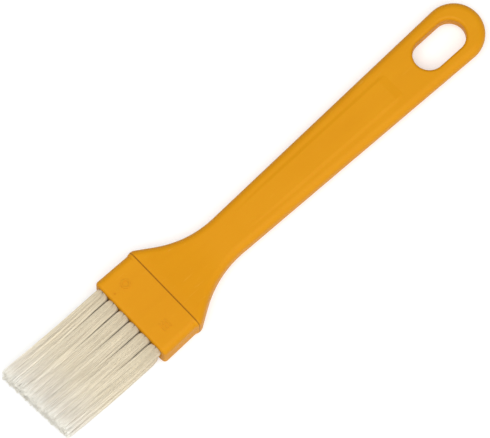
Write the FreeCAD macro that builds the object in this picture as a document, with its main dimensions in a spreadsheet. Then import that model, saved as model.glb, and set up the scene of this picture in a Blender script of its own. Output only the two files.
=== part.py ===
import FreeCAD, Part
import math
import os

import Sketcher

# Flat bristle brush. One plastic moulding forms the head block, the neck and the handle. Each tuft of
# bristle is folded in two and held in its blind hole by a flat metal anchor driven across the hole.
# +X runs along the brush towards the hang slot, Y across it, +Z out of its front face. Millimetres.
# The origin is below the middle of the brush, on the plane of its back face.

SIZES = [
    ("overall_length", 220.0),
    # head block
    ("head_length", 15.6),
    ("head_width", 37.5),
    ("head_thickness", 13.0),
    ("head_rim_round", 1.2),
    ("edge_round", 2.8),
    # shoulder: a soft bulge on both sides, and a fine groove across both faces
    ("shoulder_proud", 0.1),
    ("shoulder_round", 3.4),
    ("shoulder_peak", 1.7),
    ("crease_setback", 1.8),
    ("crease_width", 0.45),
    ("crease_depth", 0.45),
    # neck
    ("neck_slope_angle", 32.0),
    ("neck_radius", 43.0),
    ("neck_length", 34.0),
    ("face_shoulder_round", 45.0),
    ("face_slope_angle", 6.5),
    ("face_radius", 80.0),
    # handle
    ("handle_width", 16.5),
    ("handle_flare_angle", 1.7),
    ("handle_thickness", 8.5),
    ("handle_thinning_angle", 0.46),
    ("slot_length", 22.6),
    ("slot_width", 12.5),
    ("slot_end_wall", 7.7),
    ("slot_rim_round", 1.3),
    # soft raised panel on both faces of the handle: fades towards the neck, stops short of the slot
    ("panel_start", 34.0),
    ("panel_length", 83.0),
    ("panel_width", 7.4),
    ("panel_width_end", 9.3),
    ("panel_height", 0.3),
    ("panel_side_run", 1.5),
    ("panel_fade_run", 30.0),
    ("panel_end_run", 4.0),
    # tufts and their holes, which share out the head's width between its two side walls
    ("bristle_length", 46.1),
    ("side_wall", 2.2),
    ("hole_web", 0.98),
    ("hole_depth", 14.0),
    ("tuft_clearance", 0.05),
    ("flare_length", 7.0),
    ("bundle_spread", 0.5),
    ("bundle_taper", 0.7),
    ("bundle_swell", 0.38),
    ("tuft_gap", 0.1),
    ("tuft_corner", 0.9),
    # flat metal anchors
    ("anchor_thickness", 0.4),
    ("anchor_height", 1.6),
    ("anchor_bite", 0.35),
    ("anchor_angle", 80.0),
    ("fold_depth", 2.0),
    # small plain marks moulded into the front face
    ("mark_height", 0.3),
    ("ring_diameter", 3.6),
    ("ring_wall", 0.6),
    ("bar_length", 3.4),
    ("bar_width", 0.55),
    ("bar_pitch", 1.35),
    ("mark_offset", 10.6),
    ("pit_diameter", 0.7),
    ("pit_depth", 0.3),
]

FRONT_TUFTS = 6
BACK_TUFTS = FRONT_TUFTS - 1
BARS = 3
NEAR = 0.01  # points closer than this are taken as one
ROUND_END = 0.45  # a corner round that makes a narrow end almost a half circle, as a share of its width
ROOT_SHARE = 0.96  # the spreading bunch where it starts at the hole's mouth, as a share of the shank
HOLLOW_SHARE = 0.9  # how much of the neck's step its hollow round may take up
BEVEL_SHARE = 0.8  # the anchor's bevel as a share of its bite
PANEL_SINK = 0.05  # how deep the raised panel's foot lies in the handle
RIM_TILT = 1.0  # how far a slot rim may rise along the thinning handle

doc = FreeCAD.newDocument("bristle_brush")
sheet = doc.addObject("Spreadsheet::Sheet", "sizes")
for row, (alias, value) in enumerate(SIZES, start=1):
    sheet.set(f"A{row}", alias)
    sheet.set(f"B{row}", str(value))
    sheet.setAlias(f"B{row}", alias)
doc.recompute()


def size(alias):
    return float(sheet.get(alias))


# Places along the brush, as expressions on the sheet.
X_TIP = "(-sizes.overall_length / 2)"
X_END = "(sizes.overall_length / 2)"
X_FACE = f"({X_TIP} + sizes.bristle_length)"
X_WAIST = f"({X_FACE} + sizes.head_length)"
X_CREASE = f"({X_WAIST} + sizes.crease_setback)"
X_NECK = f"({X_WAIST} + sizes.neck_length)"
X_ANCHOR = f"({X_FACE} + sizes.hole_depth - sizes.fold_depth - sizes.anchor_height)"
SHOULDER_DIP = "(sizes.shoulder_round - sqrt(sizes.shoulder_round ^ 2 - sizes.shoulder_peak ^ 2))"
SHOULDER_WIDTH = "(sizes.head_width + 2 * sizes.shoulder_proud)"
WAIST_WIDTH = f"({SHOULDER_WIDTH} - 2 * {SHOULDER_DIP})"
# The front row fills the head's width. The back row stands in its gaps, all holes equally far apart.
HOLE = f"((sizes.head_width - 2 * sizes.side_wall - {FRONT_TUFTS - 1} * sizes.hole_web) / {FRONT_TUFTS})"
PITCH = f"({HOLE} + sizes.hole_web)"
ROW_RISE = f"({PITCH} * sqrt(3) / 4)"
BUNDLE_FLARE = f"({FRONT_TUFTS - 1} * {PITCH} + {HOLE} + sizes.bundle_spread)"
BUNDLE_TIP = f"({BUNDLE_FLARE} - sizes.bundle_taper)"
BUNDLE_THICKNESS = f"(2 * {ROW_RISE} + {HOLE} + sizes.bundle_swell)"
ANCHOR_LENGTH = f"({HOLE} + 2 * sizes.anchor_bite)"
TAN_THINNING = "tan(sizes.handle_thinning_angle * 1 deg)"


def place(expression):
    """The number that an expression on the sheet gives now."""
    probe = sheet.evalExpression(expression)
    return float(getattr(probe, "Value", probe))


# ---- helpers for bodies, sketches and features -------------------------------------------------


def new_body(label, y="0", z="0"):
    """A body whose own middle plane lies half a head above the rest face."""
    body = doc.addObject("PartDesign::Body", label)
    body.Label = label
    body.setExpression("Placement.Base.y", y)
    body.setExpression("Placement.Base.z", f"sizes.head_thickness / 2 + {z}")
    return body


def sketch_on(body, name, role, offset="0", angle=None):
    """An empty sketch on one of the body's own origin planes, moved along its normal by offset."""
    sketch = body.newObject("Sketcher::SketchObject", name)
    planes = {feature.Role: feature for feature in body.Origin.OriginFeatures}
    sketch.AttachmentSupport = [(planes[role], "")]
    sketch.MapMode = "FlatFace"
    if angle:
        turn = FreeCAD.Rotation(FreeCAD.Vector(0, 0, 1), size(angle))
        sketch.AttachmentOffset = FreeCAD.Placement(FreeCAD.Vector(), turn)
        sketch.setExpression("AttachmentOffset.Rotation.Angle", f"sizes.{angle} * 1 deg")
    sketch.setExpression("AttachmentOffset.Base.z", offset)
    return sketch


def bind(sketch, name, expression, *constraint):
    """A driving dimension of the sketch, bound to the sheet."""
    value = place(expression)
    kind, *where = constraint
    index = sketch.addConstraint(Sketcher.Constraint(kind, *where, value))
    sketch.renameConstraint(index, name)
    sketch.setExpression(f"Constraints.{name}", expression)


def add_rounded_rectangle(sketch, width, height, radius):
    """A rectangle with round corners, centred on the sketch's origin. The arguments are expressions."""
    a, b, r = place(width) / 2, place(height) / 2, place(radius)
    first = sketch.GeometryCount
    corners = [(a, b, 0), (-a, b, 90), (-a, -b, 180), (a, -b, 270)]
    for x, y, start in corners:
        centre = FreeCAD.Vector(x - math.copysign(r, x), y - math.copysign(r, y), 0)
        circle = Part.Circle(centre, FreeCAD.Vector(0, 0, 1), r)
        sketch.addGeometry(Part.ArcOfCircle(circle, math.radians(start), math.radians(start + 90)))
    sides = [
        ((a - r, b), (-a + r, b)),
        ((-a, b - r), (-a, -b + r)),
        ((-a + r, -b), (a - r, -b)),
        ((a, -b + r), (a, b - r)),
    ]
    for (x1, y1), (x2, y2) in sides:
        sketch.addGeometry(Part.LineSegment(FreeCAD.Vector(x1, y1, 0), FreeCAD.Vector(x2, y2, 0)))
    for i in range(4):
        arc, line, next_arc = first + i, first + 4 + i, first + (i + 1) % 4
        sketch.addConstraint(Sketcher.Constraint("Tangent", arc, 2, line, 1))
        sketch.addConstraint(Sketcher.Constraint("Tangent", line, 2, next_arc, 1))
        if i < 3:
            sketch.addConstraint(Sketcher.Constraint("Equal", arc, arc + 1))
    sketch.addConstraint(Sketcher.Constraint("Horizontal", first + 4))
    sketch.addConstraint(Sketcher.Constraint("Vertical", first + 5))
    sketch.addConstraint(Sketcher.Constraint("Symmetric", first, 3, first + 2, 3, -1, 1))
    bind(sketch, "corner", radius, "Radius", first)
    bind(sketch, "width", width, "DistanceX", first + 5, 1, first + 7, 2)
    bind(sketch, "height", height, "DistanceY", first + 6, 1, first + 4, 2)


def add_rectangle(sketch, width, height):
    """A sharp rectangle centred on the sketch's origin. The arguments are expressions."""
    a, b = place(width) / 2, place(height) / 2
    points = [(-a, -b), (a, -b), (a, b), (-a, b)]
    add_polygon(sketch, points)
    sketch.addConstraint(Sketcher.Constraint("Horizontal", 0))
    sketch.addConstraint(Sketcher.Constraint("Vertical", 1))
    sketch.addConstraint(Sketcher.Constraint("Horizontal", 2))
    sketch.addConstraint(Sketcher.Constraint("Vertical", 3))
    sketch.addConstraint(Sketcher.Constraint("Symmetric", 0, 1, 2, 1, -1, 1))
    bind(sketch, "width", width, "DistanceX", 0, 1, 0, 2)
    bind(sketch, "height", height, "DistanceY", 1, 1, 1, 2)


def add_polygon(sketch, points):
    """Straight sides joined end to end."""
    first = sketch.GeometryCount
    count = len(points)
    for i, (x, y) in enumerate(points):
        x2, y2 = points[(i + 1) % count]
        sketch.addGeometry(Part.LineSegment(FreeCAD.Vector(x, y, 0), FreeCAD.Vector(x2, y2, 0)))
    for i in range(count):
        joint = Sketcher.Constraint("Coincident", first + i, 2, first + (i + 1) % count, 1)
        sketch.addConstraint(joint)


def add_circle(sketch, diameter, name):
    """A circle about the sketch's origin."""
    circle = Part.Circle(FreeCAD.Vector(), FreeCAD.Vector(0, 0, 1), place(diameter) / 2)
    index = sketch.addGeometry(circle)
    sketch.addConstraint(Sketcher.Constraint("Coincident", index, 3, -1, 1))
    bind(sketch, name, diameter, "Diameter", index)


def pad(body, name, sketch, length, midplane=False, reverse=False):
    feature = body.newObject("PartDesign::Pad", name)
    feature.Profile = sketch
    feature.setExpression("Length", length)
    feature.SideType = "Symmetric" if midplane else "One side"
    feature.Reversed = reverse
    doc.recompute()
    return feature


def pocket(body, name, sketch, length, midplane=False, reverse=False):
    """A cut, which must take material away."""
    before = body.Shape.Volume
    feature = body.newObject("PartDesign::Pocket", name)
    feature.Profile = sketch
    feature.setExpression("Length", length)
    feature.SideType = "Symmetric" if midplane else "One side"
    feature.Reversed = reverse
    doc.recompute()
    if feature.Shape.Volume >= before:
        raise RuntimeError(f"{name} cuts nothing")
    return feature


def loft(body, name, sections):
    feature = body.newObject("PartDesign::AdditiveLoft", name)
    feature.Profile = sections[0]
    feature.Sections = sections[1:]
    feature.Ruled = True
    doc.recompute()
    return feature


def fillet(body, name, radius, wanted):
    """Rounds those edges of the body's tip that the test picks."""
    base = body.Tip
    edges = [f"Edge{i}" for i, edge in enumerate(base.Shape.Edges, start=1) if wanted(edge)]
    feature = body.newObject("PartDesign::Fillet", name)
    feature.Base = (base, edges)
    feature.setExpression("Radius", radius)
    doc.recompute()
    return feature


def row_pattern(body, name, originals, sketch, count):
    """Repeats the features across the brush, from the row's first place to its last."""
    pattern = body.newObject("PartDesign::LinearPattern", name)
    pattern.Originals = originals
    pattern.Direction = (sketch, ["H_Axis"])
    pattern.setExpression("Length", f"{PITCH} * {count - 1}")
    pattern.Occurrences = count
    body.Tip = pattern
    doc.recompute()
    return pattern


# ---- the outline that the neck and handle share ------------------------------------------------


def flank(x_start, lead, half_start, r, slope, radius, x_ref, half_ref, flare):
    """The upper edge of the neck and handle: shoulder round, straight slope, hollow round, handle side.

    The shoulder of radius r starts at x_start and is highest, half_start, after lead. The handle side
    passes (x_ref, half_ref) and opens by flare. The hollow keeps its radius unless the neck's step is
    too small to hold it.
    """
    peak = FreeCAD.Vector(x_start + lead, half_start - r, 0)
    down = FreeCAD.Vector(math.sin(slope), math.cos(slope), 0)
    side = FreeCAD.Vector(-math.sin(flare), math.cos(flare), 0)
    top = peak + down * r
    room = half_start - half_ref - r * (1 - math.cos(slope))
    hollow = min(radius, HOLLOW_SHARE * room / (1 - math.cos(slope + flare)))
    reach_down = top.dot(down) + hollow
    reach_side = FreeCAD.Vector(x_ref, half_ref, 0).dot(side) + hollow
    cross = down.x * side.y - down.y * side.x
    centre = FreeCAD.Vector(
        (reach_down * side.y - reach_side * down.y) / cross,
        (down.x * reach_side - side.x * reach_down) / cross,
        0,
    )
    return {
        "peak": peak,
        "lip": FreeCAD.Vector(x_start, peak.y + math.sqrt(r**2 - lead**2), 0),
        "top": top,
        "centre": centre,
        "low": centre - down * hollow,
        "foot": centre - side * hollow,
        "side": side,
    }


def flipped(point):
    return FreeCAD.Vector(point.x, -point.y, 0)


def arc(centre, start, end):
    """The arc about centre that runs anticlockwise from start to end."""
    radius = (start - centre).Length
    first = math.atan2(start.y - centre.y, start.x - centre.x)
    last = math.atan2(end.y - centre.y, end.x - centre.x)
    if last < first:
        last += 2 * math.pi
    circle = Part.Circle(centre, FreeCAD.Vector(0, 0, 1), radius)
    return Part.ArcOfCircle(circle, first, last)


def add_flank(sketch, edge, last, shoulder_round):
    """Draws the edge and its mirror image. The two shoulder rounds come first, then the hollows."""
    down = flipped
    sketch.addGeometry(arc(edge["peak"], edge["top"], edge["lip"]))
    sketch.addGeometry(arc(down(edge["peak"]), down(edge["lip"]), down(edge["top"])))
    sketch.addGeometry(arc(edge["centre"], edge["low"], edge["foot"]))
    sketch.addGeometry(arc(down(edge["centre"]), down(edge["foot"]), down(edge["low"])))
    lines = [(edge["top"], edge["low"]), (edge["foot"], last)]
    for start, end in lines:
        sketch.addGeometry(Part.LineSegment(start, end))
        sketch.addGeometry(Part.LineSegment(down(start), down(end)))
    for line, joint, arc_index, arc_end in [
        (4, 1, 0, 1),
        (5, 1, 1, 2),
        (4, 2, 2, 1),
        (5, 2, 3, 2),
        (6, 1, 2, 2),
        (7, 1, 3, 1),
    ]:
        tangent = Sketcher.Constraint("Tangent", line, joint, arc_index, arc_end)
        sketch.addConstraint(tangent)
    bind(sketch, "shoulder_round", shoulder_round, "Radius", 0)
    sketch.addConstraint(Sketcher.Constraint("Equal", 0, 1))
    sketch.addConstraint(Sketcher.Constraint("Equal", 2, 3))


# ---- handle: one moulding ----------------------------------------------------------------------


def make_blank(handle):
    """The neck and handle: the plan outline padded, then both faces cut to the side outline."""
    slope, flare = math.radians(size("neck_slope_angle")), math.radians(size("handle_flare_angle"))
    x_waist, x_neck, x_end = place(X_WAIST), place(X_NECK), place(X_END)
    edge = flank(
        x_waist,
        size("shoulder_peak"),
        place(SHOULDER_WIDTH) / 2,
        size("shoulder_round"),
        slope,
        size("neck_radius"),
        x_neck,
        size("handle_width") / 2,
        flare,
    )
    half_end = size("handle_width") / 2 + (x_end - x_neck) * math.tan(flare)
    end_radius = half_end * math.cos(flare) / (1 + math.sin(flare))
    end_centre = FreeCAD.Vector(x_end - end_radius, 0, 0)
    end_joint = end_centre + edge["side"] * end_radius
    plan = sketch_on(handle, "plan_outline", "XY_Plane")
    add_flank(plan, edge, end_joint, "sizes.shoulder_round")
    plan.addGeometry(arc(end_centre, flipped(end_joint), end_joint))
    plan.addGeometry(Part.LineSegment(edge["lip"], flipped(edge["lip"])))
    plan.addConstraint(Sketcher.Constraint("Tangent", 6, 2, 8, 2))
    plan.addConstraint(Sketcher.Constraint("Tangent", 7, 2, 8, 1))
    plan.addConstraint(Sketcher.Constraint("Coincident", 9, 1, 0, 2))
    plan.addConstraint(Sketcher.Constraint("Coincident", 9, 2, 1, 1))
    bind(plan, "waist_place", f"-{X_WAIST}", "DistanceX", 9, 1, -1, 1)
    pad(handle, "neck_and_handle", plan, "sizes.head_thickness", midplane=True)

    face_slope = math.radians(size("face_slope_angle"))
    thinning = -math.radians(size("handle_thinning_angle"))
    profile = flank(
        x_waist,
        0,
        size("head_thickness") / 2,
        size("face_shoulder_round"),
        face_slope,
        size("face_radius"),
        x_neck,
        size("handle_thickness") / 2,
        thinning,
    )
    past = size("head_thickness")
    half_last = size("handle_thickness") / 2 + (x_end + past - x_neck) * math.tan(thinning)
    last = FreeCAD.Vector(x_end + past, half_last, 0)
    before = profile["lip"] - FreeCAD.Vector(past, 0, 0)
    side = sketch_on(handle, "side_outline", "XZ_Plane")
    add_flank(side, profile, last, "sizes.face_shoulder_round")
    side.addGeometry(Part.LineSegment(profile["lip"], before))
    side.addGeometry(Part.LineSegment(flipped(profile["lip"]), flipped(before)))
    side.addGeometry(Part.LineSegment(before, flipped(before)))
    side.addGeometry(Part.LineSegment(last, flipped(last)))
    for joint in [(8, 1, 0, 2), (9, 1, 1, 1), (10, 1, 8, 2), (10, 2, 9, 2), (11, 1, 6, 2), (11, 2, 7, 2)]:
        side.addConstraint(Sketcher.Constraint("Coincident", *joint))
    far = 2 * past
    add_polygon(
        side,
        [
            (x_waist - far, -far),
            (x_end + far, -far),
            (x_end + far, far),
            (x_waist - far, far),
        ],
    )
    pocket(handle, "both_faces", side, "sizes.head_width * 2", midplane=True)

    def is_long_edge(edge):
        """An edge between a side wall and a face, away from the flat start of the neck."""
        ends = [vertex.Point for vertex in edge.Vertexes]
        start_face = all(abs(point.x - x_waist) < NEAR for point in ends)
        upright = abs(ends[0].x - ends[-1].x) < NEAR and abs(ends[0].y - ends[-1].y) < NEAR
        across = abs(ends[0].x - ends[-1].x) < NEAR and abs(ends[0].z - ends[-1].z) < NEAR
        return not (start_face or upright or across)

    fillet(handle, "long_edges", "sizes.edge_round", is_long_edge)


def make_head_block():
    """The head in a body that lies in the handle's own frame: a plan widest at the bristle side, padded."""
    block = doc.addObject("PartDesign::Body", "head_block")
    plan = sketch_on(block, "head_plan", "XY_Plane")
    x_face, x_waist = place(X_FACE), place(X_WAIST)
    half_face, half_waist = size("head_width") / 2, place(WAIST_WIDTH) / 2
    corners = [(x_face, -half_face), (x_waist, -half_waist), (x_waist, half_waist), (x_face, half_face)]
    add_polygon(plan, corners)
    plan.addConstraint(Sketcher.Constraint("Symmetric", 0, 1, 2, 2, -1))
    plan.addConstraint(Sketcher.Constraint("Symmetric", 0, 2, 1, 2, -1))
    bind(plan, "face_width", "sizes.head_width", "DistanceY", 0, 1, 2, 2)
    bind(plan, "waist_width", WAIST_WIDTH, "DistanceY", 0, 2, 1, 2)
    bind(plan, "length", "sizes.head_length", "DistanceX", 0, 1, 0, 2)
    bind(plan, "waist_place", f"-{X_WAIST}", "DistanceX", 0, 2, -1, 1)
    pad(block, "head_flat", plan, "sizes.head_thickness", midplane=True)
    fillet(block, "head_edges", "sizes.edge_round", lambda edge: edge.BoundBox.XLength > NEAR)
    return block


def make_head(handle):
    """The head block joined to the neck, and the groove that parts it from the neck's faces."""
    joined = handle.newObject("PartDesign::Boolean", "head_joined")
    joined.Type = "Fuse"
    joined.setObjects([make_head_block()])
    doc.recompute()
    groove = sketch_on(handle, "crease_section", "XZ_Plane")
    x_low, x_high = place(X_CREASE) - size("crease_width"), place(X_CREASE)
    half = size("head_thickness") / 2
    inner, outer = half - size("crease_depth"), half + size("crease_depth")
    for sign in (1, -1):
        corners = [(x_low, inner), (x_high, inner), (x_high, outer), (x_low, outer)]
        add_polygon(groove, [(x, sign * z) for x, z in corners])
    pocket(handle, "crease", groove, "sizes.head_width * 2", midplane=True)
    x_face = place(X_FACE)

    def is_rim(edge):
        return all(abs(vertex.X - x_face) < NEAR for vertex in edge.Vertexes)

    fillet(handle, "head_rim", "sizes.head_rim_round", is_rim)


def make_panel(handle):
    """The soft raised panel: one thin wedge through the handle, proud of both faces, faded at its ends."""
    start, length = size("panel_start"), size("panel_length")
    fade, run, height = size("panel_fade_run"), size("panel_end_run"), size("panel_height")
    x_start = f"({X_WAIST} + sizes.panel_start)"
    stations = [(0, -PANEL_SINK), (fade, height), (length - run, height), (length, -PANEL_SINK)]
    sections = []
    for number, (along, proud) in enumerate(stations):
        share = along / length
        half_top = ((1 - share) * size("panel_width") + share * size("panel_width_end")) / 2
        half_foot = half_top + size("panel_side_run")
        x = place(X_WAIST) + start + along
        half_face = size("handle_thickness") / 2 - (x - place(X_NECK)) * place(TAN_THINNING)
        section = sketch_on(handle, f"panel_section_{number}", "YZ_Plane", f"{x_start} + {along}")
        low, high = half_face - PANEL_SINK, half_face + proud
        upper = [(half_foot, low), (half_top, high), (-half_top, high), (-half_foot, low)]
        if proud < 0:
            lower = low - PANEL_SINK
            upper = [(half_foot, lower), (half_top, low), (-half_top, low), (-half_foot, lower)]
        add_polygon(section, upper + [(-y, -z) for y, z in upper])
        sections.append(section)
    loft(handle, "raised_panel", sections)


def make_slot(handle):
    """The hang slot, rounded off on both faces."""
    half_straight = (size("slot_length") - size("slot_width")) / 2
    half_width = size("slot_width") / 2
    middle = place(X_END) - size("slot_end_wall") - size("slot_length") / 2
    slot = sketch_on(handle, "slot_outline", "XY_Plane")
    left, right = middle - half_straight, middle + half_straight
    corner = {
        "right_low": FreeCAD.Vector(right, -half_width, 0),
        "right_high": FreeCAD.Vector(right, half_width, 0),
        "left_low": FreeCAD.Vector(left, -half_width, 0),
        "left_high": FreeCAD.Vector(left, half_width, 0),
    }
    slot.addGeometry(arc(FreeCAD.Vector(right, 0, 0), corner["right_low"], corner["right_high"]))
    slot.addGeometry(arc(FreeCAD.Vector(left, 0, 0), corner["left_high"], corner["left_low"]))
    slot.addGeometry(Part.LineSegment(corner["right_high"], corner["left_high"]))
    slot.addGeometry(Part.LineSegment(corner["left_low"], corner["right_low"]))
    for joint in [(0, 2, 2, 1), (2, 2, 1, 1), (1, 2, 3, 1), (3, 2, 0, 1)]:
        slot.addConstraint(Sketcher.Constraint("Tangent", *joint))
    slot.addConstraint(Sketcher.Constraint("PointOnObject", 0, 3, -1))
    slot.addConstraint(Sketcher.Constraint("PointOnObject", 1, 3, -1))
    bind(slot, "width", "sizes.slot_width / 2", "Radius", 0)
    bind(slot, "straight", "sizes.slot_length - sizes.slot_width", "DistanceX", 1, 3, 0, 3)
    place_right = f"{X_END} - sizes.slot_end_wall - sizes.slot_width / 2"
    bind(slot, "place", place_right, "DistanceX", -1, 1, 0, 3)
    pocket(handle, "hang_slot", slot, "sizes.head_thickness * 2", midplane=True)
    x_low, x_high = left - half_width - NEAR, right + half_width + NEAR

    def is_slot_rim(edge):
        box = edge.BoundBox
        inside = box.XMin > x_low and box.XMax < x_high and box.YLength > 0
        flat = box.ZLength < RIM_TILT
        within = max(abs(box.YMin), abs(box.YMax)) < half_width + NEAR
        return inside and flat and within

    fillet(handle, "slot_rims", "sizes.slot_rim_round", is_slot_rim)


def row_place(count, front):
    """Where the first tuft of a row stands, as expressions for Y and Z from the middle plane."""
    sign = "" if front else "-"
    return f"-{PITCH} * {(count - 1) / 2}", f"{sign}{ROW_RISE}"


def make_holes(handle):
    """Blind tuft holes in two staggered rows, each with the two bites that its anchor cuts."""
    for row, count, front in [("front", FRONT_TUFTS, True), ("back", BACK_TUFTS, False)]:
        y, z = row_place(count, front)
        mouth = sketch_on(handle, f"{row}_hole", "YZ_Plane", X_FACE)
        mouth.setExpression("AttachmentOffset.Base.x", y)
        mouth.setExpression("AttachmentOffset.Base.y", z)
        add_circle(mouth, HOLE, "hole")
        drilled = pocket(handle, f"{row}_holes", mouth, "sizes.hole_depth", reverse=True)
        row_pattern(handle, f"{row}_hole_row", [drilled], mouth, count)
        bite = sketch_on(handle, f"{row}_bite", "YZ_Plane", X_ANCHOR, "anchor_angle")
        bite.setExpression("AttachmentOffset.Base.x", y)
        bite.setExpression("AttachmentOffset.Base.y", z)
        add_rectangle(bite, ANCHOR_LENGTH, "sizes.anchor_thickness")
        cut = pocket(handle, f"{row}_bites", bite, "sizes.anchor_height", reverse=True)
        row_pattern(handle, f"{row}_bite_row", [cut], mouth, count)


def make_marks(handle):
    """Plain marks on the front face: a ring on one side, three short bars on the other, and a gate pit."""
    front = "sizes.head_thickness / 2"
    x_middle = f"({X_FACE} + sizes.head_length / 2)"
    ring = sketch_on(handle, "ring_mark", "XY_Plane", f"{front} - sizes.mark_height")
    ring.setExpression("AttachmentOffset.Base.x", x_middle)
    ring.setExpression("AttachmentOffset.Base.y", "sizes.mark_offset")
    add_circle(ring, "sizes.ring_diameter", "outside")
    add_circle(ring, "sizes.ring_diameter - 2 * sizes.ring_wall", "inside")
    pad(handle, "ring", ring, "2 * sizes.mark_height")
    for number in range(BARS):
        bar = sketch_on(handle, f"bar_mark_{number}", "XY_Plane", f"{front} - sizes.mark_height")
        step = number - (BARS - 1) / 2
        bar.setExpression("AttachmentOffset.Base.x", f"{x_middle} + {step} * sizes.bar_pitch")
        bar.setExpression("AttachmentOffset.Base.y", "-sizes.mark_offset")
        add_rounded_rectangle(bar, "sizes.bar_width", "sizes.bar_length", f"sizes.bar_width * {ROUND_END}")
        pad(handle, f"bar_{number}", bar, "2 * sizes.mark_height")
    pit = sketch_on(handle, "pit_mark", "XY_Plane", front)
    pit.setExpression("AttachmentOffset.Base.x", f"{X_FACE} + 2 * sizes.head_rim_round")
    pit.setExpression("AttachmentOffset.Base.y", "sizes.mark_offset")
    add_circle(pit, "sizes.pit_diameter", "pit")
    pocket(handle, "gate_pit", pit, "sizes.pit_depth")


def make_handle():
    handle = new_body("handle")
    make_blank(handle)
    make_head(handle)
    make_panel(handle)
    make_slot(handle)
    make_holes(handle)
    make_marks(handle)
    return handle


# ---- tufts and anchors -------------------------------------------------------------------------


def make_tuft(label, y, z, cells):
    """A folded bundle: a round shank that fills its hole, then a flare to its own cell of the bundle."""
    tuft = new_body(label, y, z)
    shank_width = f"({HOLE} - 2 * sizes.tuft_clearance)"
    shank = sketch_on(tuft, f"{label}_shank", "YZ_Plane", X_FACE)
    add_circle(shank, shank_width, "shank")
    pad(tuft, f"{label}_in_hole", shank, "sizes.hole_depth")
    root = sketch_on(tuft, f"{label}_root", "YZ_Plane", X_FACE)
    root_width = f"{shank_width} * {ROOT_SHARE}"
    add_rounded_rectangle(root, root_width, root_width, f"{shank_width} * {ROUND_END}")
    sections = [root]
    for number, (x, cell_y, cell_z, width, height) in enumerate(cells, start=1):
        cell = sketch_on(tuft, f"{label}_cell_{number}", "YZ_Plane", x)
        cell.setExpression("AttachmentOffset.Base.x", cell_y)
        cell.setExpression("AttachmentOffset.Base.y", cell_z)
        add_rounded_rectangle(cell, width, height, "sizes.tuft_corner")
        sections.append(cell)
    loft(tuft, f"{label}_flare", sections)
    fold = sketch_on(tuft, f"{label}_fold", "YZ_Plane", X_ANCHOR, "anchor_angle")
    add_rectangle(fold, ANCHOR_LENGTH, "sizes.anchor_thickness")
    pocket(tuft, f"{label}_anchor_gap", fold, "sizes.anchor_height", reverse=True)
    return tuft


def make_anchor(label, y, z):
    """A short piece of flat wire. Its leading edge is bevelled at both ends, where it cuts in."""
    anchor = new_body(label, y, z)
    strip = sketch_on(anchor, f"{label}_section", "YZ_Plane", X_ANCHOR, "anchor_angle")
    add_rectangle(strip, ANCHOR_LENGTH, "sizes.anchor_thickness")
    pad(anchor, f"{label}_strip", strip, "sizes.anchor_height")
    x_lead = place(X_ANCHOR) + size("anchor_height")
    base = anchor.Tip
    ends = []
    for number, edge in enumerate(base.Shape.Edges, start=1):
        at_lead = all(abs(vertex.X - x_lead) < NEAR for vertex in edge.Vertexes)
        if at_lead and edge.Length < size("anchor_thickness") + NEAR:
            ends.append(f"Edge{number}")
    bevel = anchor.newObject("PartDesign::Chamfer", f"{label}_bevel")
    bevel.Base = (base, ends)
    bevel.setExpression("Size", f"sizes.anchor_bite * {BEVEL_SHARE}")
    doc.recompute()
    return anchor


def make_rows():
    """Both rows of tufts with their anchors. Past the flare each row shares out the whole bundle."""
    pieces = []
    for row, count, front in [("front", FRONT_TUFTS, True), ("back", BACK_TUFTS, False)]:
        sign = "" if front else "-"
        half_thick = f"({BUNDLE_THICKNESS} / 2)"
        height = f"{half_thick} - sizes.tuft_gap"
        for number in range(count):
            step = number - (count - 1) / 2
            y = f"{PITCH} * {step}"
            z = f"{sign}{ROW_RISE}"
            cell_z = f"{sign}({half_thick} / 2 - {ROW_RISE})"
            cells = []
            for x, bundle in [
                (f"{X_FACE} - sizes.flare_length", BUNDLE_FLARE),
                (X_TIP, BUNDLE_TIP),
            ]:
                share = f"({bundle} / {count})"
                cell_y = f"({share} - {PITCH}) * {step}"
                cells.append((x, cell_y, cell_z, f"{share} - sizes.tuft_gap", height))
            name = f"{row}_{number + 1}"
            pieces.append(make_tuft(f"tuft_{name}", y, z, cells))
            pieces.append(make_anchor(f"anchor_{name}", y, z))
    return pieces


pieces = [make_handle(), *make_rows()]
doc.recompute()

for item in doc.Objects:
    if "Invalid" in item.State or "Error" in item.State:
        raise RuntimeError(f"{item.Label} failed: {item.State}")
for piece in pieces:
    if piece.Shape.isNull() or not piece.Shape.isValid() or len(piece.Shape.Solids) != 1:
        raise RuntimeError(f"{piece.Label} isn't one valid solid")

os.makedirs("parts", exist_ok=True)
for piece in pieces:
    piece.Shape.exportStep(f"parts/{piece.Label}.step")
    print(f"{piece.Label}: {piece.Shape.Volume:.1f} mm3")
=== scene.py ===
import math

import bpy
from mathutils import Matrix, Vector


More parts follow.
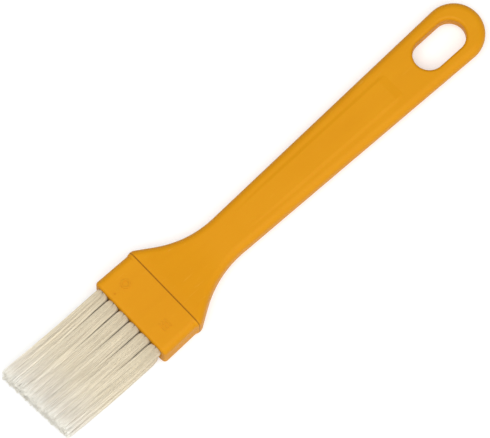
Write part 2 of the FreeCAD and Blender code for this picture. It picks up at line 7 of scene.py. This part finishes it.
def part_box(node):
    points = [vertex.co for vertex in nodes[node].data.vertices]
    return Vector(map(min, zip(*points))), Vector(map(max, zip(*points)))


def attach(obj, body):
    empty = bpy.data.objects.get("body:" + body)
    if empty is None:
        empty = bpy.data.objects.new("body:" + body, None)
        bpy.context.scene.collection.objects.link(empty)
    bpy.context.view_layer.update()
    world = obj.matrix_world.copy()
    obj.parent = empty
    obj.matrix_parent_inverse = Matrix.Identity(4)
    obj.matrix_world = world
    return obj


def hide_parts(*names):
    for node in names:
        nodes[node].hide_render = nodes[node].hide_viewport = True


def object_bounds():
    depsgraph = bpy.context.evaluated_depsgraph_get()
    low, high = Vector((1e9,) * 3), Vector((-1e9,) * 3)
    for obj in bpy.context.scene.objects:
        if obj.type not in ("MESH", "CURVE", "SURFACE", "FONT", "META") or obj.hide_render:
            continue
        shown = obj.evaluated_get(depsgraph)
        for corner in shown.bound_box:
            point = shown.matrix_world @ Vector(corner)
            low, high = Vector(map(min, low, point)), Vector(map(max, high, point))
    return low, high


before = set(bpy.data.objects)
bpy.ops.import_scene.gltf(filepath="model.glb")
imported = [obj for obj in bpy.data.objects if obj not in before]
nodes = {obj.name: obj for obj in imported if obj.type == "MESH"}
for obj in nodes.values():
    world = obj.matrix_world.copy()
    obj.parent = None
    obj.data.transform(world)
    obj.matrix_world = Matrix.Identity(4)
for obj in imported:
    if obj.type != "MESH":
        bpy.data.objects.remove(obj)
cad_low, cad_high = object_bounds()
MM = 0.001


# ---- Handle and head --------------------------------------------------------------------------
# One moulding in yellow-orange polypropylene: head block, neck, grip and hang slot. It is satin, with
# faint flow streaks along its length, a fine spark-eroded grain and the light scuffs of a packed tool.


def wire(tree, kind, values=None, **settings):
    """Adds a node. values maps its inputs, by name or number, to numbers or to other nodes' outputs."""
    made = tree.nodes.new(kind)
    for name, value in settings.items():
        setattr(made, name, value)
    for socket, value in (values or {}).items():
        if isinstance(value, bpy.types.NodeSocket):
            tree.links.new(value, made.inputs[socket])
        else:
            made.inputs[socket].default_value = value
    return made


def calc(tree, operation, *values, clamp=False):
    """The output of a Math node on numbers and sockets."""
    made = wire(tree, "ShaderNodeMath", dict(enumerate(values)), operation=operation, use_clamp=clamp)
    return made.outputs[0]


def ramp(tree, value, *stops):
    """A colour ramp through (place, colour) stops. A number stands for that grey."""
    made = wire(tree, "ShaderNodeValToRGB", {"Fac": value})
    band = made.color_ramp.elements
    while len(band) < len(stops):
        band.new(0.5)
    for element, (place, colour) in zip(band, stops):
        element.position = place
        element.color = (colour, colour, colour, 1) if isinstance(colour, (int, float)) else (*colour, 1)
    return made.outputs["Color"]


def blend(tree, kind, factor, first, second):
    """A colour Mix node's output. Plain colours are given as three numbers."""
    made = tree.nodes.new("ShaderNodeMix")
    made.data_type = "RGBA"
    made.blend_type = kind
    for socket, value in ((made.inputs[0], factor), (made.inputs[6], first), (made.inputs[7], second)):
        if isinstance(value, bpy.types.NodeSocket):
            tree.links.new(value, socket)
        elif isinstance(value, (int, float)):
            socket.default_value = value
        else:
            socket.default_value = (*value, 1)
    return made.outputs[2]


def new_material(name):
    material = bpy.data.materials.new(name)
    material.use_nodes = True
    tree = material.node_tree
    tree.nodes.clear()
    shader = wire(tree, "ShaderNodeBsdfPrincipled")
    output = wire(tree, "ShaderNodeOutputMaterial")
    tree.links.new(shader.outputs["BSDF"], output.inputs["Surface"])
    return material, tree, shader


def stretched(tree, scale):
    """The object's own coordinates in metres, times a scale for each axis."""
    where = wire(tree, "ShaderNodeTexCoord")
    made = wire(tree, "ShaderNodeMapping", {"Vector": where.outputs["Object"], "Scale": scale})
    return made.outputs["Vector"]


GROOVE_MIDDLE, GROOVE_HALF = -46.72, 0.24  # the crease across both faces, in mm along the brush


def handle_plastic():
    body = (0.610, 0.252, 0.0030)
    deep = (0.540, 0.206, 0.0020)
    pale = (0.660, 0.292, 0.0070)
    material, tree, shader = new_material("handle_plastic")
    streaks = wire(
        tree,
        "ShaderNodeTexNoise",
        {"Vector": stretched(tree, (14, 130, 130)), "Scale": 1.0, "Detail": 4.0, "Roughness": 0.55},
    )
    clouds = wire(
        tree,
        "ShaderNodeTexNoise",
        {"Vector": stretched(tree, (28, 40, 40)), "Scale": 1.0, "Detail": 3.0, "Roughness": 0.5},
    )
    tone = blend(tree, "MIX", ramp(tree, streaks.outputs["Fac"], (0.40, 0), (0.75, 0.35)), body, deep)
    tone = blend(tree, "MIX", ramp(tree, clouds.outputs["Fac"], (0.45, 0), (0.75, 0.30)), tone, pale)
    scratches = wire(
        tree,
        "ShaderNodeTexNoise",
        {"Vector": stretched(tree, (90, 2600, 900)), "Scale": 1.0, "Detail": 2.0, "Distortion": 0.6},
    )
    worn = wire(
        tree,
        "ShaderNodeTexNoise",
        {"Vector": stretched(tree, (55, 90, 90)), "Scale": 1.0, "Detail": 2.0},
    )
    patches = ramp(tree, worn.outputs["Fac"], (0.52, 0), (0.66, 1))
    lines = ramp(tree, scratches.outputs["Fac"], (0.66, 0), (0.70, 1))
    scuffs = calc(tree, "MULTIPLY", patches, lines)
    scuffed, crease_shade_colour = (0.86, 0.50, 0.10), (0.20, 0.07, 0.004)
    tone = blend(tree, "MIX", calc(tree, "MULTIPLY", scuffs, 0.30), tone, scuffed)
    along = wire(tree, "ShaderNodeSeparateXYZ", {0: stretched(tree, (1000, 1000, 1000))}).outputs["X"]
    # Painted shade: a narrow band across the crease between head block and neck is darkened towards deep
    # brown, standing in for the shadow in that groove.
    crease_shade = calc(tree, "COMPARE", along, GROOVE_MIDDLE, GROOVE_HALF)
    tone = blend(tree, "MIX", calc(tree, "MULTIPLY", crease_shade, 0.55), tone, crease_shade_colour)
    tree.links.new(tone, shader.inputs["Base Color"])
    grain = wire(
        tree,
        "ShaderNodeTexNoise",
        {"Vector": stretched(tree, (3600, 3600, 3600)), "Scale": 1.0, "Detail": 2.0},
    )
    ripple = wire(
        tree,
        "ShaderNodeTexNoise",
        {"Vector": stretched(tree, (60, 110, 110)), "Scale": 1.0, "Detail": 1.0},
    )
    rough = calc(tree, "MULTIPLY_ADD", grain.outputs["Fac"], 0.08, 0.44)
    rough = calc(tree, "MULTIPLY_ADD", clouds.outputs["Fac"], 0.08, rough)
    rough = calc(tree, "MULTIPLY_ADD", scuffs, 0.14, rough)
    tree.links.new(rough, shader.inputs["Roughness"])
    height = calc(tree, "MULTIPLY_ADD", ripple.outputs["Fac"], 9.0, grain.outputs["Fac"])
    height = calc(tree, "SUBTRACT", height, scuffs)
    bump = wire(
        tree,
        "ShaderNodeBump",
        {"Height": height, "Distance": 0.012 * MM, "Strength": 0.8},
    )
    tree.links.new(bump.outputs["Normal"], shader.inputs["Normal"])
    shader.inputs["IOR"].default_value = 1.49
    shader.inputs["Subsurface Weight"].default_value = 0.04
    shader.inputs["Specular IOR Level"].default_value = 0.12
    shader.inputs["Subsurface Radius"].default_value = (1.0, 0.45, 0.08)
    shader.inputs["Subsurface Scale"].default_value = 1.2 * MM
    return material


def finish_node(name, material):
    """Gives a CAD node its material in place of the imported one."""
    for slot in nodes[name].material_slots:
        slot.link = "OBJECT"
        slot.material = material


finish_node("handle", handle_plastic())


# ---- Anchors ----------------------------------------------------------------------------------
# One short piece of flat steel wire in each hole. It is cropped from a coil and driven across the hole
# on top of the folded tuft, so that its ends bite into the plastic.


def anchor_steel():
    material, tree, shader = new_material("anchor_steel")
    drawn = wire(
        tree,
        "ShaderNodeTexNoise",
        {"Vector": stretched(tree, (9000, 700, 700)), "Scale": 1.0, "Detail": 3.0},
    )
    stains = wire(
        tree,
        "ShaderNodeTexNoise",
        {"Vector": stretched(tree, (900, 900, 900)), "Scale": 1.0, "Detail": 4.0},
    )
    dull, bright, stain = (0.46, 0.45, 0.43), (0.62, 0.61, 0.59), (0.30, 0.24, 0.18)
    tone = ramp(tree, drawn.outputs["Fac"], (0.3, dull), (0.7, bright))
    tone = blend(tree, "MIX", ramp(tree, stains.outputs["Fac"], (0.55, 0), (0.8, 0.5)), tone, stain)
    tree.links.new(tone, shader.inputs["Base Color"])
    rough = calc(tree, "MULTIPLY_ADD", drawn.outputs["Fac"], 0.25, 0.22)
    tree.links.new(rough, shader.inputs["Roughness"])
    bump = wire(
        tree,
        "ShaderNodeBump",
        {"Height": drawn.outputs["Fac"], "Distance": 0.01 * MM, "Strength": 0.5},
    )
    tree.links.new(bump.outputs["Normal"], shader.inputs["Normal"])
    shader.inputs["Metallic"].default_value = 1.0
    return material


anchor_names = sorted(name for name in nodes if name.startswith("anchor_"))
steel = anchor_steel()
for name in anchor_names:
    finish_node(name, steel)


# ---- Bristle tufts ----------------------------------------------------------------------------
# Pale natural bristle, folded in two over the anchor in each hole. A tuft leaves its hole as a round
# bunch of two legs, spreads to meet its neighbours, and is trimmed across the tips, slightly askew.


FOLDED = 430  # filaments in one front tuft, each of which shows two ends
EXTRA_AT_BACK = 40  # more of them in a back tuft, as five fill the width of six
LEG_STEPS = 12  # points along each leg of a folded filament
BUNCH_RADIUS = 2.19 * MM
ANCHOR_ANGLE = 80.0
FLARE_LENGTH = 7.0 * MM
FOLD_DEPTH = 13.2 * MM
TURN_DEPTH = 1.3 * MM
BUNDLE_TAPER = 0.7 * MM  # how much narrower the whole bundle is at its tips than past the flare
TUFT_PARTING = 0.34 * MM  # how far a tuft keeps from the edge of its share past the flare
TIP_OVERLAP = 0.1 * MM  # how far it reaches into its neighbours' shares at the tips
FACE_INSET, TIP_INSET = 0.10 * MM, 0.2 * MM  # how far it keeps inside the bundle's two faces
TIP_SETBACK = 0.35 * MM
TRIM_ANGLE = 3.2  # degrees that the trim is askew
SEED_STEP = 7


def bristle_colour():
    material, tree, shader = new_material("bristle")
    along = wire(tree, "ShaderNodeAttribute", attribute_name="along").outputs["Fac"]
    strand = wire(tree, "ShaderNodeAttribute", attribute_name="strand").outputs["Fac"]
    length_tone = ramp(
        tree,
        along,
        (0.00, (0.65, 0.56, 0.40)),
        (0.22, (0.79, 0.70, 0.52)),
        (0.60, (0.85, 0.77, 0.60)),
        (0.93, (0.85, 0.80, 0.70)),
        (1.00, (0.96, 0.94, 0.86)),
    )
    strand_tone = ramp(tree, strand, (0.0, 0.86), (0.25, 0.95), (0.7, 1.0), (1.0, 1.0))
    tone = blend(tree, "MULTIPLY", 1.0, length_tone, strand_tone)
    warm = ramp(tree, strand, (0.08, 1), (0.16, 0))
    tone = blend(tree, "MIX", calc(tree, "MULTIPLY", warm, 0.25), tone, (0.66, 0.52, 0.34))
    bands = wire(
        tree,
        "ShaderNodeTexNoise",
        {"Vector": stretched(tree, (420, 2600, 2600)), "Scale": 1.0, "Detail": 3.0},
    )
    patchy = ramp(tree, bands.outputs["Fac"], (0.3, 0.84), (0.65, 1.0))
    tone = blend(tree, "MULTIPLY", 0.5, tone, patchy)
    tree.links.new(tone, shader.inputs["Base Color"])
    scales = wire(
        tree,
        "ShaderNodeTexNoise",
        {"Vector": stretched(tree, (9000, 5000, 5000)), "Scale": 1.0, "Detail": 2.0},
    )
    rough = calc(tree, "MULTIPLY_ADD", scales.outputs["Fac"], 0.20, 0.36)
    rough = calc(tree, "MULTIPLY_ADD", strand, 0.08, rough)
    tree.links.new(rough, shader.inputs["Roughness"])
    bump = wire(
        tree,
        "ShaderNodeBump",
        {"Height": scales.outputs["Fac"], "Distance": 0.01 * MM, "Strength": 0.5},
    )
    tree.links.new(bump.outputs["Normal"], shader.inputs["Normal"])
    shader.inputs["IOR"].default_value = 1.5
    shader.inputs["Sheen Weight"].default_value = 0.15
    shader.inputs["Sheen Roughness"].default_value = 0.4
    return material


TUFT_INPUTS = [
    ("Filaments", "NodeSocketInt"),
    ("Seed", "NodeSocketInt"),
    ("Filament Radius", "NodeSocketFloat"),
    ("Hole", "NodeSocketVector"),
    ("Hole Radius", "NodeSocketFloat"),
    ("Fold Angle", "NodeSocketFloat"),
    ("Fold Depth", "NodeSocketFloat"),
    ("Turn Depth", "NodeSocketFloat"),
    ("Parting", "NodeSocketFloat"),
    ("Flare Length", "NodeSocketFloat"),
    ("Spread Middle", "NodeSocketVector"),
    ("Spread Half", "NodeSocketVector"),
    ("Tip Middle", "NodeSocketVector"),
    ("Tip Half", "NodeSocketVector"),
    ("Tip Lean", "NodeSocketFloat"),
    ("Trim Slant", "NodeSocketFloat"),
    ("Ragged", "NodeSocketFloat"),
    ("Stray", "NodeSocketFloat"),
    ("Material", "NodeSocketMaterial"),
]


def tuft_tree():
    """Folded filaments. Each is one line of points from a tip, round the fold, to its other tip."""
    tree = bpy.data.node_groups.new("folded_tuft", "GeometryNodeTree")
    for name, kind in TUFT_INPUTS:
        tree.interface.new_socket(name=name, in_out="INPUT", socket_type=kind)
    tree.interface.new_socket(name="Mesh", in_out="OUTPUT", socket_type="NodeSocketGeometry")
    given = wire(tree, "NodeGroupInput").outputs

    def sum_of(*values):
        total = values[0]
        for value in values[1:]:
            total = calc(tree, "ADD", total, value)
        return total

    def times(*values):
        total = values[0]
        for value in values[1:]:
            total = calc(tree, "MULTIPLY", total, value)
        return total

    def less(first, second):
        return calc(tree, "SUBTRACT", first, second)

    def parts(vector):
        return wire(tree, "ShaderNodeSeparateXYZ", {0: vector}).outputs

    def between(first, second, share):
        return sum_of(first, times(less(second, first), share))

    def rise(value, start, width):
        """0 up to start, 1 past start + width, and straight between."""
        return calc(tree, "DIVIDE", less(value, start), width, clamp=True)

    def chance(low, high, number, shift):
        made = wire(
            tree,
            "FunctionNodeRandomValue",
            {
                "ID": number,
                "Seed": calc(tree, "ADD", given["Seed"], shift),
            },
            data_type="FLOAT",
        )
        made.inputs[2].default_value = low
        made.inputs[3].default_value = high
        return made.outputs[1]

    # Numbers that shape every filament alike.
    closing_speed = 1.9  # how much sooner than its tip a filament reaches its place in the bundle
    root_gap = 0.16  # the share of the parting that is still there past the flare
    flare_ease, flare_pull = 3.0, 2.3  # powers: how early it spreads, how late it moves forward
    step_u, step_v = 0.7548776662, 0.5698402910  # even steps that scatter numbered points over a square
    stray_at_flare = 0.15  # the share of the straying that the flare already has
    sway, sway_speed, full_turn = 0.35, 5.0, 6.283
    clump_pull, clumps_wide, clumps_high = 1.8, 900.0, 700.0
    short_hairs, clump_trim, longest = 2.2, 2.4, 1.6  # how the trim is ragged, in parts of Ragged
    fold_bulge = 0.5 * MM
    thin_from, thinning = 0.7, 0.45  # a natural hair tapers towards its end

    # Which filament and which point of it this is. One step of a leg turns round the fold, one leads out
    # of the hole, four make the flare and six are free.
    per_line = 2 * LEG_STEPS + 1
    index = wire(tree, "GeometryNodeInputIndex").outputs[0]
    filament = calc(tree, "FLOOR", calc(tree, "DIVIDE", sum_of(index, 0.5), per_line))
    step = less(index, times(filament, per_line))
    signed = calc(tree, "DIVIDE", less(step, LEG_STEPS), LEG_STEPS)
    side = calc(tree, "SIGN", signed)
    share = calc(tree, "ABSOLUTE", signed)
    leg = sum_of(times(filament, 2), calc(tree, "GREATER_THAN", signed, 0.0))
    one = 1 / LEG_STEPS
    turn = rise(share, 0.0, one)
    in_hole = rise(share, one, one)
    flare = rise(share, 2 * one, 4 * one)
    free = rise(share, 6 * one, 6 * one)
    closing = calc(tree, "MULTIPLY", free, closing_speed, clamp=True)

    # Evenly spread places over half a square, then the same places over half a disc of equal area.
    across = calc(tree, "FRACT", sum_of(times(filament, step_u), 0.5))
    upward = less(times(calc(tree, "FRACT", sum_of(times(filament, step_v), 0.5)), 2.0), 1.0)
    wide = calc(tree, "GREATER_THAN", across, calc(tree, "ABSOLUTE", upward))
    quarter = math.pi / 4
    angle_wide = times(calc(tree, "DIVIDE", upward, across), quarter)
    angle_tall = less(math.pi / 2, times(calc(tree, "DIVIDE", across, upward), quarter))
    angle = between(angle_tall, angle_wide, wide)
    reach = between(upward, across, wide)
    disc_u = times(reach, calc(tree, "COSINE", angle))
    disc_v = times(reach, calc(tree, "SINE", angle))

    # In the hole: a round bunch, its two legs parted by the anchor.
    parted = times(given["Parting"], root_gap, less(1.0, closing))
    root_u = times(side, turn, between(given["Parting"], given["Hole Radius"], disc_u))
    root_v = times(given["Hole Radius"], disc_v)
    fold = calc(tree, "RADIANS", given["Fold Angle"])
    cosine, sine = calc(tree, "COSINE", fold), calc(tree, "SINE", fold)
    hole = parts(given["Hole"])
    root_y = sum_of(hole["Y"], times(root_u, sine), times(root_v, cosine))
    root_z = sum_of(hole["Z"], times(root_v, sine), times(root_u, -1.0, cosine))

    # Past the flare and at the tips: a share of the bundle's rectangle.
    square_u = times(side, across)
    spread, spread_half = parts(given["Spread Middle"]), parts(given["Spread Half"])
    tip, tip_half = parts(given["Tip Middle"]), parts(given["Tip Half"])
    spread_y = sum_of(spread["Y"], times(square_u, spread_half["Y"]), times(side, parted))
    spread_z = sum_of(spread["Z"], times(upward, spread_half["Z"]))
    tip_y = sum_of(tip["Y"], times(square_u, tip_half["Y"]))
    tip_z = sum_of(tip["Z"], times(upward, tip_half["Z"]))
    ease = less(1.0, calc(tree, "POWER", less(1.0, flare), flare_ease))
    lean = times(given["Tip Lean"], free, free)
    y = sum_of(between(between(root_y, spread_y, ease), tip_y, closing), lean)
    z = between(between(root_z, spread_z, ease), tip_z, closing)

    # Strays: each end leans its own way, and neighbours lean together in small clumps.
    out = sum_of(times(flare, flare, stray_at_flare), times(free, 1.0 - stray_at_flare))
    phase = sum_of(times(out, sway_speed), chance(0.0, full_turn, leg, 3))
    wave = times(calc(tree, "SINE", phase), out, sway)
    lean_y = sum_of(times(chance(-1.0, 1.0, leg, 1), out), wave)
    lean_z = sum_of(times(chance(-1.0, 1.0, leg, 2), out), wave)
    patch = wire(
        tree,
        "ShaderNodeCombineXYZ",
        {
            "X": sum_of(given["Seed"], 0.5),
            "Y": times(tip_y, clumps_wide),
            "Z": times(tip_z, clumps_high),
        },
    )
    clump = wire(tree, "ShaderNodeTexNoise", {"Vector": patch.outputs[0], "Scale": 1.0, "Detail": 1.0})
    pull = parts(clump.outputs["Color"])
    lean_y = sum_of(lean_y, times(less(pull["X"], 0.5), clump_pull, out))
    lean_z = sum_of(lean_z, times(less(pull["Y"], 0.5), clump_pull, out))
    y = sum_of(y, times(lean_y, given["Stray"]))
    z = sum_of(z, times(lean_z, given["Stray"]))

    # Along the brush: from the fold out of the hole to a trim that is ragged and a little askew.
    short = chance(0.0, 1.0, leg, 4)
    rag = sum_of(times(short, short, short_hairs), times(pull["Z"], clump_trim), -longest)
    trim = sum_of(tip["X"], times(tip_y, given["Trim Slant"]), times(rag, given["Ragged"]))
    bottom = sum_of(hole["X"], given["Fold Depth"], times(disc_u, fold_bulge))
    beside = sum_of(hole["X"], less(given["Fold Depth"], given["Turn Depth"]))
    spread_x = less(hole["X"], given["Flare Length"])
    x = between(bottom, beside, turn)
    x = between(x, hole["X"], in_hole)
    x = between(x, spread_x, calc(tree, "POWER", flare, flare_pull))
    x = between(x, trim, free)

    count = times(given["Filaments"], per_line)
    place = wire(tree, "ShaderNodeCombineXYZ", {"X": x, "Y": y, "Z": z})
    cloud = wire(tree, "GeometryNodePoints", {"Count": count, "Position": place.outputs[0], "Radius": 1.0})
    shade = wire(
        tree,
        "GeometryNodeStoreNamedAttribute",
        {"Geometry": cloud.outputs[0], "Name": "strand", "Value": chance(0.0, 1.0, filament, 5)},
        data_type="FLOAT",
        domain="POINT",
    )
    shade = wire(
        tree,
        "GeometryNodeStoreNamedAttribute",
        {"Geometry": shade.outputs[0], "Name": "along", "Value": out},
        data_type="FLOAT",
        domain="POINT",
    )
    lines = wire(
        tree,
        "GeometryNodePointsToCurves",
        {"Points": shade.outputs[0], "Curve Group ID": filament},
    )
    fine = less(1.0, times(rise(out, thin_from, 1.0 - thin_from), thinning))
    lines = wire(tree, "GeometryNodeSetCurveRadius", {"Curve": lines.outputs[0], "Radius": fine})
    ring = wire(
        tree,
        "GeometryNodeCurvePrimitiveCircle",
        {"Resolution": 5, "Radius": given["Filament Radius"]},
        mode="RADIUS",
    )
    tube = wire(
        tree,
        "GeometryNodeCurveToMesh",
        {"Curve": lines.outputs[0], "Profile Curve": ring.outputs[0], "Fill Caps": True},
    )
    smooth = wire(tree, "GeometryNodeSetShadeSmooth", {"Geometry": tube.outputs[0], "Shade Smooth": True})
    whole = wire(tree, "GeometryNodeRealizeInstances", {"Geometry": smooth.outputs[0]})
    dressed = wire(
        tree,
        "GeometryNodeSetMaterial",
        {"Geometry": whole.outputs[0], "Material": given["Material"]},
    )
    result = wire(tree, "NodeGroupOutput")
    tree.links.new(dressed.outputs[0], result.inputs[0])
    return tree


def make_tuft(name, tree, sizes, material):
    """Runs the tree once and keeps what it makes as a plain mesh."""
    holder = bpy.data.objects.new(name + "_maker", bpy.data.meshes.new(name + "_maker"))
    bpy.context.scene.collection.objects.link(holder)
    modifier = holder.modifiers.new("tuft", "NODES")
    modifier.node_group = tree
    given = [item for item in tree.interface.items_tree if item.in_out == "INPUT"]
    sockets = {item.name: item.identifier for item in given}
    for label, value in sizes.items():
        modifier[sockets[label]] = value
    modifier[sockets["Material"]] = material
    graph = bpy.context.evaluated_depsgraph_get()
    mesh = bpy.data.meshes.new_from_object(holder.evaluated_get(graph), depsgraph=graph)
    mesh.name = name
    bpy.data.objects.remove(holder)
    tuft = bpy.data.objects.new(name, mesh)
    bpy.context.scene.collection.objects.link(tuft)
    return tuft


bristle = bristle_colour()
folding = tuft_tree()
tuft_nodes = sorted(name for name in nodes if name.startswith("tuft_"))
tuft_boxes = [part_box(name) for name in tuft_nodes]
bundle_width = max(box[1][1] for box in tuft_boxes) - min(box[0][1] for box in tuft_boxes)
bundle_low, bundle_high = min(box[0][2] for box in tuft_boxes), max(box[1][2] for box in tuft_boxes)
middle_z, half_z = (bundle_low + bundle_high) / 2, (bundle_high - bundle_low) / 2
face_x, tip_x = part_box("handle")[0][0], cad_low.x
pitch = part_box("anchor_front_2")[0][1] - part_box("anchor_front_1")[0][1]
row_rise = pitch * math.sqrt(3) / 4
for row, row_side, more, first_seed in (("front", 1, 0, 11), ("back", -1, EXTRA_AT_BACK, 111)):
    members = [name for name in tuft_nodes if row in name]
    count = len(members)
    spread_share = bundle_width / count
    tip_share = spread_share - BUNDLE_TAPER / count
    cell_z = middle_z + row_side * half_z / 2
    for number, node in enumerate(members):
        step = number - (count - 1) / 2
        sizes = {
            "Filaments": FOLDED + more,
            "Seed": first_seed + SEED_STEP * number,
            "Filament Radius": 0.072 * MM,
            "Hole": (face_x, step * pitch, middle_z + row_side * row_rise),
            "Hole Radius": BUNCH_RADIUS,
            "Fold Angle": ANCHOR_ANGLE,
            "Fold Depth": FOLD_DEPTH,
            "Turn Depth": TURN_DEPTH,
            "Parting": 0.30 * MM,
            "Flare Length": FLARE_LENGTH,
            "Spread Middle": (0.0, step * spread_share, cell_z),
            "Spread Half": (0.0, spread_share / 2 - TUFT_PARTING, half_z / 2 - FACE_INSET),
            "Tip Middle": (tip_x + TIP_SETBACK, step * tip_share, cell_z),
            "Tip Half": (0.0, tip_share / 2 + TIP_OVERLAP, half_z / 2 - TIP_INSET),
            "Tip Lean": 0.86 * MM,
            "Trim Slant": -math.tan(math.radians(TRIM_ANGLE)),
            "Ragged": 1.2 * MM,
            "Stray": 0.24 * MM,
        }
        tuft = make_tuft(node.replace("tuft", "bristles"), folding, sizes, bristle)
        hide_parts(node)
        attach(tuft, "root")


# ---- Floor, light and camera ------------------------------------------------------------------
# A plain white floor. The key is a small soft light low on the brush's right side, and the stronger fill
# is a broad one above the bristle end. A long lens looks down on the front face.


def white_floor():
    material, tree, shader = new_material("white_floor")
    paper = wire(
        tree,
        "ShaderNodeTexNoise",
        {"Vector": stretched(tree, (900, 900, 900)), "Scale": 1.0, "Detail": 2.0},
    )
    tone = ramp(tree, paper.outputs["Fac"], (0.3, 0.64), (0.7, 0.66))
    tree.links.new(tone, shader.inputs["Base Color"])
    shader.inputs["Roughness"].default_value = 0.9
    shader.inputs["Specular IOR Level"].default_value = 0.2
    shader.inputs["Emission Color"].default_value = (1, 1, 1, 1)
    shader.inputs["Emission Strength"].default_value = 0.38
    return material


floor_half = 3.0
floor_mesh = bpy.data.meshes.new("floor")
corners = [(x * floor_half, y * floor_half, 0) for x, y in ((-1, -1), (1, -1), (1, 1), (-1, 1))]
floor_mesh.from_pydata(corners, [], [(0, 1, 2, 3)])
floor = bpy.data.objects.new("floor", floor_mesh)
floor_mesh.materials.append(white_floor())
bpy.context.scene.collection.objects.link(floor)

world = bpy.data.worlds.new("room")
world.use_nodes = True
room_light = world.node_tree.nodes["Background"]
room_light.inputs["Color"].default_value = (1, 1, 1, 1)
room_light.inputs["Strength"].default_value = 0.32
bpy.context.scene.world = world


def soft_light(name, place, size, power):
    """A square area light that faces the middle of the brush."""
    data = bpy.data.lights.new(name, "AREA")
    data.size = size
    data.energy = power
    light = bpy.data.objects.new(name, data)
    light.location = place
    light.rotation_mode = "QUATERNION"
    light.rotation_quaternion = (-Vector(place)).to_track_quat("-Z", "Y")
    bpy.context.scene.collection.objects.link(light)


soft_light("key", (0.10, -0.75, 0.75), 0.7, 4.0)
soft_light("fill", (-0.38, -0.15, 1.30), 1.2, 17.5)

azimuth, elevation, roll = math.radians(-42.75), math.radians(73.2), math.radians(-0.3)
distance = 3.0
view_width = 0.17942  # metres across the view at the brush
back = Vector(
    (
        math.sin(azimuth) * math.cos(elevation),
        -math.cos(azimuth) * math.cos(elevation),
        math.sin(elevation),
    )
)
right = Vector((math.cos(azimuth), math.sin(azimuth), 0))
up = back.cross(right)
shift_right, shift_up = -4.87 * MM, -1.83 * MM
aim = right * shift_right + up * shift_up
camera_data = bpy.data.cameras.new("camera")
camera_data.sensor_width = 36.0
camera_data.lens = distance * camera_data.sensor_width / view_width
camera_data.clip_start, camera_data.clip_end = 0.1, 20.0
camera = bpy.data.objects.new("camera", camera_data)
turned = Matrix.Rotation(roll, 3, back) @ Matrix((right, up, back)).transposed()
camera.matrix_world = Matrix.Translation(aim + back * distance) @ turned.to_4x4()
bpy.context.scene.collection.objects.link(camera)
bpy.context.scene.camera = camera
bpy.context.scene.view_settings.view_transform = "Standard"
